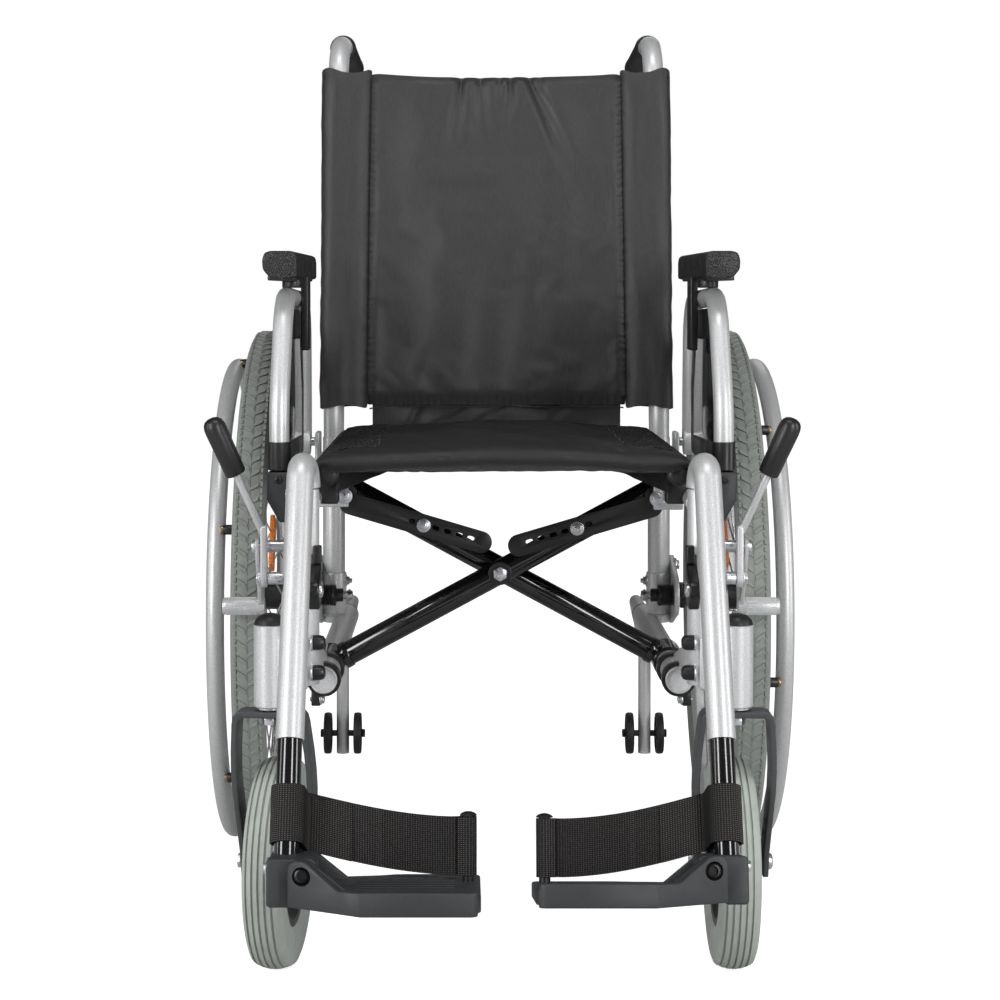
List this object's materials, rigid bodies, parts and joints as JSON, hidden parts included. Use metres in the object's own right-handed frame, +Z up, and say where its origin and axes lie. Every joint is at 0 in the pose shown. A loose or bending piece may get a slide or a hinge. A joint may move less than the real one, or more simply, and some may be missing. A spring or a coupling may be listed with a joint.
{
  "type": "folding wheelchair",
  "caption": "Manual folding wheelchair with cross brace, large push wheels, swivel casters, swing-away leg rests, flip-up footplates, flip-back armrests, brakes and anti-tippers.",
  "frame": {"origin": "on the floor, under the middle of the whole chair's box", "axes": "+Z up; the chair faces -Y, and its occupant's left is +X"},
  "size_m": [0.6004, 1.0565, 0.9492],
  "materials": {
    "silver_paint": "silver metallic paint, semi gloss",
    "gloss_black": "gloss black coating",
    "black_plastic": "moulded, satin",
    "grey_plastic": "moulded, fine grain",
    "grey_tyre": "matt grey, moulded tread",
    "black_nylon": "woven nylon with a satin sheen",
    "webbing": "woven tape, matt",
    "black_vinyl": "grained cover, satin",
    "steel": "plated, bright"
  },
  "bodies": {
    "frame_right": {"side_frame_right": "silver_paint", "back_cane_right": "silver_paint", "push_grip_right": "black_plastic", "axle_plate_right": "gloss_black", "wheel_axle_right": "steel", "caster_housing_right": "silver_paint", "armrest_socket_right": "grey_plastic", "brake_bracket_right": "silver_paint", "back_sling": "black_nylon"},
    "cross_right": {"cross_tube_right": "gloss_black", "pivot_bolt": "steel", "seat_sling": "black_nylon"},
    "cross_left": {"cross_tube_left": "gloss_black"},
    "frame_left": {"side_frame_left": "silver_paint", "back_cane_left": "silver_paint", "push_grip_left": "black_plastic", "axle_plate_left": "gloss_black", "wheel_axle_left": "steel", "caster_housing_left": "silver_paint", "armrest_socket_left": "grey_plastic", "brake_bracket_left": "silver_paint"},
    "link_arm_right": {"link_arm_right": "black_plastic"},
    "wheel_right": {"rear_tyre_right": "grey_tyre", "rear_wheel_right": "silver_paint", "handrim_right": "silver_paint"},
    "caster_fork_right": {"caster_fork_right": "grey_plastic"},
    "caster_wheel_right": {"caster_wheel_right": "grey_tyre"},
    "hanger_right": {"hanger_right": "silver_paint"},
    "hanger_latch_right": {"hanger_latch_right": "black_plastic"},
    "footrest_right": {"footrest_tube_right": "gloss_black"},
    "footplate_pin_right": {"footplate_pin_right": "steel", "heel_strap_right": "webbing"},
    "footplate_right": {"footplate_right": "grey_plastic"},
    "armrest_right": {"armrest_frame_right": "silver_paint", "armrest_panel_right": "black_plastic"},
    "armrest_pad_right": {"armrest_pad_right": "black_vinyl"},
    "brake_lever_right": {"brake_lever_right": "black_plastic"},
    "brake_shoe_right": {"brake_shoe_right": "steel"},
    "anti_tip_right": {"anti_tip_tube_right": "silver_paint"},
    "anti_tip_wheels_right": {"anti_tip_wheels_right": "black_plastic"},
    "link_arm_left": {"link_arm_left": "black_plastic"},
    "wheel_left": {"rear_tyre_left": "grey_tyre", "rear_wheel_left": "silver_paint", "handrim_left": "silver_paint"},
    "caster_fork_left": {"caster_fork_left": "grey_plastic"},
    "caster_wheel_left": {"caster_wheel_left": "grey_tyre"},
    "hanger_left": {"hanger_left": "silver_paint"},
    "hanger_latch_left": {"hanger_latch_left": "black_plastic"},
    "footrest_left": {"footrest_tube_left": "gloss_black"},
    "footplate_pin_left": {"footplate_pin_left": "steel", "heel_strap_left": "webbing"},
    "footplate_left": {"footplate_left": "grey_plastic"},
    "armrest_left": {"armrest_frame_left": "silver_paint", "armrest_panel_left": "black_plastic"},
    "armrest_pad_left": {"armrest_pad_left": "black_vinyl"},
    "brake_lever_left": {"brake_lever_left": "black_plastic"},
    "brake_shoe_left": {"brake_shoe_left": "steel"},
    "anti_tip_left": {"anti_tip_tube_left": "silver_paint"},
    "anti_tip_wheels_left": {"anti_tip_wheels_left": "black_plastic"}
  },
  "joints": [
    {"name": "fold", "type": "hinge", "parent": "frame_right", "child": "cross_right", "pos_m": [-0.176, -0.0205, 0.26], "axis": [0, -1, 0], "range_deg": [0, 45], "deforming": ["back_sling"]},
    {"name": "scissor", "type": "hinge", "parent": "cross_right", "child": "cross_left", "pos_m": [0, -0.0205, 0.355], "axis": [0, -1, 0], "range_deg": [-90, 0], "deforming": ["seat_sling"]},
    {"name": "left_frame_hinge", "type": "hinge", "parent": "cross_left", "child": "frame_left", "pos_m": [0.176, -0.0205, 0.26], "axis": [0, -1, 0], "range_deg": [0, 45]},
    {"name": "link_right", "type": "hinge", "parent": "frame_right", "child": "link_arm_right", "pos_m": [-0.161, -0.02, 0.433], "axis": [0, -1, 0], "range_deg": [0, 99.5]},
    {"name": "wheel_spin_right", "type": "hinge", "parent": "frame_right", "child": "wheel_right", "pos_m": [-0.256, 0.1995, 0.3], "axis": [1, 0, 0], "continuous": true},
    {"name": "caster_swivel_right", "type": "hinge", "parent": "frame_right", "child": "caster_fork_right", "pos_m": [-0.218, -0.2655, 0.25], "axis": [0, 0, 1], "continuous": true},
    {"name": "caster_spin_right", "type": "hinge", "parent": "caster_fork_right", "child": "caster_wheel_right", "pos_m": [-0.2133, -0.22075, 0.1], "axis": [0.9945, -0.1045, 0], "continuous": true},
    {"name": "hanger_swing_right", "type": "hinge", "parent": "frame_right", "child": "hanger_right", "pos_m": [-0.184, -0.2555, 0.46], "axis": [0, 0, -1], "range_deg": [0, 90]},
    {"name": "hanger_latch_right", "type": "hinge", "parent": "hanger_right", "child": "hanger_latch_right", "pos_m": [-0.1745, -0.30296, 0.37], "axis": [1, 0, 0], "range_deg": [0, 25], "stiffness_Nm_per_rad": 0.5, "springref_deg": -5.73},
    {"name": "footrest_slide_right", "type": "slide", "parent": "hanger_right", "child": "footrest_right", "axis": [0, -0.4179, -0.9085], "range_m": [-0.03, 0.06]},
    {"name": "footplate_fold_right", "type": "hinge", "parent": "footrest_right", "child": "footplate_pin_right", "pos_m": [-0.173, -0.4505, 0.15], "axis": [0, -0.9945, 0.1045], "range_deg": [0, 95], "deforming": ["heel_strap_right"]},
    {"name": "footplate_flip_right", "type": "hinge", "parent": "footplate_pin_right", "child": "footplate_right", "pos_m": [-0.173, -0.4505, 0.15], "axis": [0, 0.9945, -0.1045], "range_deg": [-90, 0]},
    {"name": "armrest_flip_right", "type": "hinge", "parent": "frame_right", "child": "armrest_right", "pos_m": [-0.219, 0.1935, 0.475], "axis": [-1, 0, 0], "range_deg": [0, 100]},
    {"name": "armrest_height_right", "type": "slide", "parent": "armrest_right", "child": "armrest_pad_right", "axis": [0, 0, 1], "range_m": [0, 0.06]},
    {"name": "brake_right", "type": "hinge", "parent": "frame_right", "child": "brake_lever_right", "pos_m": [-0.233, -0.1685, 0.365], "axis": [-1, 0, 0], "range_deg": [-60, 0]},
    {"name": "brake_shoe_right", "type": "hinge", "parent": "frame_right", "child": "brake_shoe_right", "pos_m": [-0.2395, -0.1585, 0.395], "axis": [-1, 0, 0], "range_deg": [-12, 0]},
    {"name": "anti_tip_right", "type": "hinge", "parent": "frame_right", "child": "anti_tip_right", "pos_m": [-0.176, 0.3195, 0.26], "axis": [0, -1, 0], "range_deg": [0, 180]},
    {"name": "anti_tip_spin_right", "type": "hinge", "parent": "anti_tip_right", "child": "anti_tip_wheels_right", "pos_m": [-0.191, 0.4995, 0.085], "axis": [1, 0, 0], "continuous": true},
    {"name": "link_left", "type": "hinge", "parent": "frame_left", "child": "link_arm_left", "pos_m": [0.161, -0.051, 0.433], "axis": [0, 1, 0], "range_deg": [0, 99.5]},
    {"name": "wheel_spin_left", "type": "hinge", "parent": "frame_left", "child": "wheel_left", "pos_m": [0.256, 0.1995, 0.3], "axis": [1, 0, 0], "continuous": true},
    {"name": "caster_swivel_left", "type": "hinge", "parent": "frame_left", "child": "caster_fork_left", "pos_m": [0.218, -0.2655, 0.25], "axis": [0, 0, 1], "continuous": true},
    {"name": "caster_spin_left", "type": "hinge", "parent": "caster_fork_left", "child": "caster_wheel_left", "pos_m": [0.218, -0.2205, 0.1], "axis": [1, 0, 0], "continuous": true},
    {"name": "hanger_swing_left", "type": "hinge", "parent": "frame_left", "child": "hanger_left", "pos_m": [0.184, -0.2555, 0.46], "axis": [0, 0, 1], "range_deg": [0, 90]},
    {"name": "hanger_latch_left", "type": "hinge", "parent": "hanger_left", "child": "hanger_latch_left", "pos_m": [0.1745, -0.30296, 0.37], "axis": [1, 0, 0], "range_deg": [0, 25], "stiffness_Nm_per_rad": 0.5, "springref_deg": -5.73},
    {"name": "footrest_slide_left", "type": "slide", "parent": "hanger_left", "child": "footrest_left", "axis": [0, -0.4179, -0.9085], "range_m": [-0.03, 0.06]},
    {"name": "footplate_fold_left", "type": "hinge", "parent": "footrest_left", "child": "footplate_pin_left", "pos_m": [0.173, -0.4505, 0.15], "axis": [0, 0.9781, -0.2079], "range_deg": [0, 95], "deforming": ["heel_strap_left"]},
    {"name": "footplate_flip_left", "type": "hinge", "parent": "footplate_pin_left", "child": "footplate_left", "pos_m": [0.173, -0.4505, 0.15], "axis": [0, -0.9781, 0.2079], "range_deg": [-90, 0]},
    {"name": "armrest_flip_left", "type": "hinge", "parent": "frame_left", "child": "armrest_left", "pos_m": [0.219, 0.1935, 0.475], "axis": [-1, 0, 0], "range_deg": [0, 100]},
    {"name": "armrest_height_left", "type": "slide", "parent": "armrest_left", "child": "armrest_pad_left", "axis": [0, 0, 1], "range_m": [0, 0.06]},
    {"name": "brake_left", "type": "hinge", "parent": "frame_left", "child": "brake_lever_left", "pos_m": [0.233, -0.1685, 0.365], "axis": [-1, 0, 0], "range_deg": [-60, 0]},
    {"name": "brake_shoe_left", "type": "hinge", "parent": "frame_left", "child": "brake_shoe_left", "pos_m": [0.2395, -0.1585, 0.395], "axis": [-1, 0, 0], "range_deg": [-12, 0]},
    {"name": "anti_tip_left", "type": "hinge", "parent": "frame_left", "child": "anti_tip_left", "pos_m": [0.176, 0.3195, 0.26], "axis": [0, 1, 0], "range_deg": [0, 180]},
    {"name": "anti_tip_spin_left", "type": "hinge", "parent": "anti_tip_left", "child": "anti_tip_wheels_left", "pos_m": [0.191, 0.4995, 0.085], "axis": [1, 0, 0], "continuous": true}
  ],
  "couplings": [
    {"joint": "scissor", "follows": "fold", "ratio": -2},
    {"joint": "left_frame_hinge", "follows": "fold", "ratio": 1},
    {"joint": "link_right", "follows": "fold", "ratio": 2.2},
    {"joint": "footplate_fold_right", "follows": "fold", "ratio": 2.1},
    {"joint": "brake_shoe_right", "follows": "brake_right", "ratio": 0.2},
    {"joint": "link_left", "follows": "fold", "ratio": 2.2},
    {"joint": "footplate_fold_left", "follows": "fold", "ratio": 2.1},
    {"joint": "brake_shoe_left", "follows": "brake_left", "ratio": 0.2}
  ]
}
